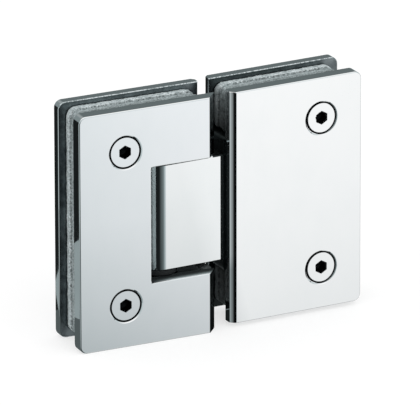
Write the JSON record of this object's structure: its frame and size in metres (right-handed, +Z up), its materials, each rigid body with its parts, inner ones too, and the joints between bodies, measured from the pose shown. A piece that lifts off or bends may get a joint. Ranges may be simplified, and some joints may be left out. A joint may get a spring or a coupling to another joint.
{
  "type": "glass door hinge",
  "caption": "Glass-to-glass shower door hinge: two clamping leaves of chromed plates with gasket sheets between them, joined by a self-centring pivot block that swings both ways.",
  "frame": {"origin": "on the pivot pin's axis, half way up the left leaf", "axes": "+X along the left leaf towards the right leaf, +Y away from the side seen first, +Z up along the pivot pin"},
  "size_m": [0.1132, 0.0252, 0.09],
  "materials": {
    "plate_chrome": "polished",
    "block_chrome": "polished",
    "clamp_chrome": "satin",
    "clamp_screw": "polished",
    "gasket": "matte",
    "sleeve_plastic": "matte",
    "bush_plastic": "smooth",
    "pin_steel": "ground",
    "spring_steel": "drawn wire",
    "black_steel": "blackened"
  },
  "bodies": {
    "left_leaf": {"left_front_plate": "plate_chrome", "left_back_plate": "plate_chrome", "pivot_pin": "pin_steel", "left_gasket_front": "gasket", "left_gasket_mid_front": "gasket", "left_gasket_mid_back": "gasket", "left_gasket_back": "gasket", "upper_pin_clamp": "clamp_chrome", "upper_clamp_screw_near": "black_steel", "upper_clamp_screw_far": "black_steel", "left_upper_screw": "clamp_screw", "left_upper_sleeve": "sleeve_plastic", "lower_pin_clamp": "clamp_chrome", "lower_clamp_screw_near": "black_steel", "lower_clamp_screw_far": "black_steel", "left_lower_screw": "clamp_screw", "left_lower_sleeve": "sleeve_plastic"},
    "right_leaf": {"right_front_plate": "plate_chrome", "right_back_plate": "plate_chrome", "pivot_block": "block_chrome", "right_gasket_front": "gasket", "right_gasket_mid_front": "gasket", "right_gasket_mid_back": "gasket", "right_gasket_back": "gasket", "upper_bush": "bush_plastic", "upper_spring": "spring_steel", "upper_adjusting_screw": "black_steel", "right_upper_screw": "clamp_screw", "right_upper_sleeve": "sleeve_plastic", "block_screw_upper_near": "black_steel", "block_screw_upper_far": "black_steel", "lower_bush": "bush_plastic", "lower_spring": "spring_steel", "lower_adjusting_screw": "black_steel", "right_lower_screw": "clamp_screw", "right_lower_sleeve": "sleeve_plastic", "block_screw_lower_near": "black_steel", "block_screw_lower_far": "black_steel"},
    "upper_plunger": {"upper_plunger": "pin_steel"},
    "lower_plunger": {"lower_plunger": "pin_steel"}
  },
  "joints": [
    {"name": "leaf_swing", "type": "hinge", "parent": "left_leaf", "child": "right_leaf", "pos_m": [0, 0, 0], "axis": [0, 0, 1], "range_deg": [-92.4, 87.6]},
    {"name": "upper_plunger_travel", "type": "slide", "parent": "right_leaf", "child": "upper_plunger", "axis": [0.9991, 0.0419, 0], "range_m": [-0.0007, 0]},
    {"name": "lower_plunger_travel", "type": "slide", "parent": "right_leaf", "child": "lower_plunger", "axis": [0.9991, 0.0419, 0], "range_m": [-0.0007, 0]}
  ]
}
